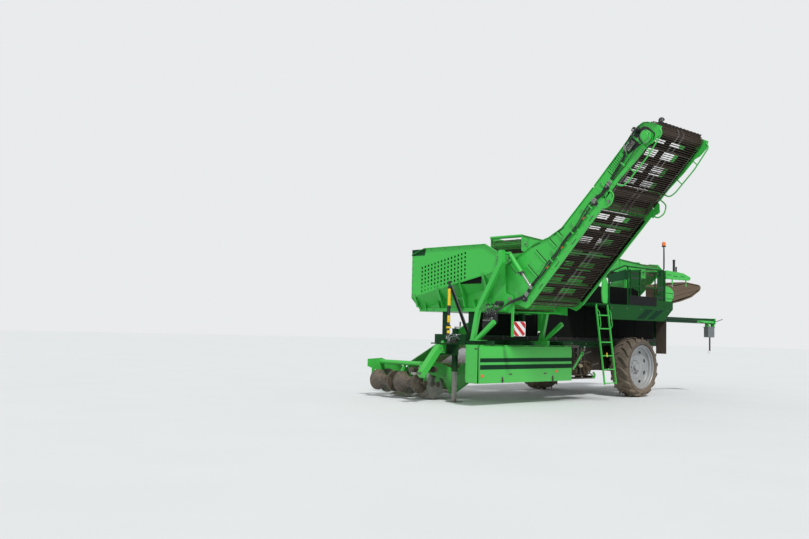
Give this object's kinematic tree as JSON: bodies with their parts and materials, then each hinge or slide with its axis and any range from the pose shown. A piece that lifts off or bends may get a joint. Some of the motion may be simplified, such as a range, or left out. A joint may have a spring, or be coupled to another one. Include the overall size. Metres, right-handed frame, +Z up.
{
  "type": "trailed potato harvester",
  "caption": "Trailed potato harvester with digging unit, sieving webs, picking table, holding bunker and a raised folding side elevator on a steered axle.",
  "frame": {"origin": "centre of the towing eye's vertical hole", "axes": "+X is the way of travel, +Y the machine's left, where the elevator rises, +Z up"},
  "size_m": [9.862, 6.8141, 5.3153],
  "materials": {
    "green_paint": "gloss bright green machinery paint, dusty",
    "dark_green_paint": "dark green machinery paint",
    "black_paint": "satin black paint",
    "steel": "worn bare steel",
    "web_steel": "earth stained rods on rubber belts",
    "hose": "black rubber hose",
    "rim_silver": "silver wheel paint",
    "tyre_rubber": "dusty rubber",
    "lamp_lens": "clear lens",
    "beacon_amber": "amber lens",
    "board_white": "white plate with red diagonal stripes"
  },
  "bodies": {
    "root": {"main_frame": "dark_green_paint", "jack_sleeve": "dark_green_paint", "hose_post": "black_paint", "bunker": "green_paint", "bunker_floor": "web_steel", "bunker_legs": "green_paint", "valve_block": "hose", "warning_board": "board_white", "web_channel": "green_paint", "sieving_web": "web_steel", "second_channel": "green_paint", "second_web": "web_steel", "cross_elevator": "green_paint", "cross_web": "web_steel", "picking_frame": "green_paint", "picking_web": "web_steel", "left_platform": "dark_green_paint", "right_platform": "dark_green_paint", "console": "dark_green_paint", "beacon": "beacon_amber", "trash_conveyor": "web_steel", "rear_arm": "dark_green_paint", "side_box": "green_paint", "drive_unit": "black_paint", "oil_tank": "dark_green_paint", "axle": "dark_green_paint"},
    "drawbar_arm": {"drawbar": "green_paint", "towing_eye": "steel", "pto_shaft": "black_paint"},
    "jack": {"jack_leg": "steel"},
    "digger": {"digger_frame": "green_paint", "shares": "steel"},
    "coulters": {"disc_coulters": "steel"},
    "diabolos": {"ridge_rollers": "black_paint"},
    "elevator": {"elevator_frame": "green_paint", "elevator_web": "web_steel"},
    "elevator_head": {"head_frame": "green_paint", "head_web": "web_steel", "head_lamp": "lamp_lens"},
    "lift_barrel": {"lift_barrels": "black_paint"},
    "lift_rod": {"lift_rods": "steel"},
    "steered_left": {"knuckle_left": "steel"},
    "steered_right": {"knuckle_right": "steel"},
    "steering_rod": {"tie_rod": "steel"},
    "wheel_left": {"rim_left": "rim_silver", "tyre_left": "tyre_rubber"},
    "wheel_right": {"rim_right": "rim_silver", "tyre_right": "tyre_rubber"},
    "box_cover": {"side_cover": "green_paint"},
    "boarding_ladder": {"ladder": "green_paint"}
  },
  "joints": [
    {"name": "drawbar_steer", "type": "hinge", "parent": "root", "child": "drawbar_arm", "pos_m": [-0.79, 0, 0.47], "axis": [0, 0, 1], "range_deg": [-20, 20]},
    {"name": "jack_slide", "type": "slide", "parent": "root", "child": "jack", "axis": [0, 0, 1], "range_m": [0, 0.35]},
    {"name": "digger_lift", "type": "hinge", "parent": "root", "child": "digger", "pos_m": [-1.76, -1.25, -0.08], "axis": [0, -1, 0], "range_deg": [0, 12]},
    {"name": "coulter_spin", "type": "hinge", "parent": "digger", "child": "coulters", "pos_m": [-1.095, -1.25, -0.27], "axis": [0, 1, 0], "continuous": true},
    {"name": "diabolo_spin", "type": "hinge", "parent": "digger", "child": "diabolos", "pos_m": [-0.73, -1.25, -0.24], "axis": [0, 1, 0], "continuous": true},
    {"name": "elevator_lift", "type": "hinge", "parent": "root", "child": "elevator", "pos_m": [-2, 1.45, 1.5], "axis": [1, 0, 0], "range_deg": [-45, 5]},
    {"name": "elevator_fold", "type": "hinge", "parent": "elevator", "child": "elevator_head", "pos_m": [-2, 3.677, 3.2108], "axis": [1, 0, 0], "range_deg": [-70, 0]},
    {"name": "lift_barrel_swing", "type": "hinge", "parent": "root", "child": "lift_barrel", "pos_m": [-2, 1.47, 2.38], "axis": [1, 0, 0], "range_deg": [-16, 3]},
    {"name": "lift_rod_slide", "type": "slide", "parent": "lift_barrel", "child": "lift_rod", "axis": [0, 0.6322, -0.7748], "range_m": [-0.05, 0.4]},
    {"name": "steer_left", "type": "hinge", "parent": "root", "child": "steered_left", "pos_m": [-6.3, 0.6, 0.1], "axis": [0, 0, 1], "range_deg": [-15, 15]},
    {"name": "steer_right", "type": "hinge", "parent": "root", "child": "steered_right", "pos_m": [-6.3, -1.45, 0.1], "axis": [0, 0, 1], "range_deg": [-16, 16]},
    {"name": "steering_rod_slide", "type": "slide", "parent": "root", "child": "steering_rod", "axis": [0, 1, 0], "range_m": [-0.07, 0.07]},
    {"name": "wheel_left_spin", "type": "hinge", "parent": "steered_left", "child": "wheel_left", "pos_m": [-6.3, 0.95, 0.1], "axis": [0, 1, 0], "continuous": true},
    {"name": "wheel_right_spin", "type": "hinge", "parent": "steered_right", "child": "wheel_right", "pos_m": [-6.3, -1.8, 0.1], "axis": [0, 1, 0], "continuous": true},
    {"name": "cover_swing", "type": "hinge", "parent": "root", "child": "box_cover", "pos_m": [-2.05, 1.147, 0.58], "axis": [1, 0, 0], "range_deg": [0, 80]},
    {"name": "ladder_fold", "type": "hinge", "parent": "root", "child": "boarding_ladder", "pos_m": [-4.55, 1.23, 1.52], "axis": [1, 0, 0], "range_deg": [0, 150]}
  ],
  "couplings": [
    {"joint": "lift_barrel_swing", "follows": "elevator_lift", "ratio": 0.315},
    {"joint": "lift_rod_slide", "follows": "elevator_lift", "m_per_rad": -0.49},
    {"joint": "steer_right", "follows": "steer_left", "ratio": 1},
    {"joint": "steering_rod_slide", "follows": "steer_left", "m_per_rad": -0.25}
  ]
}
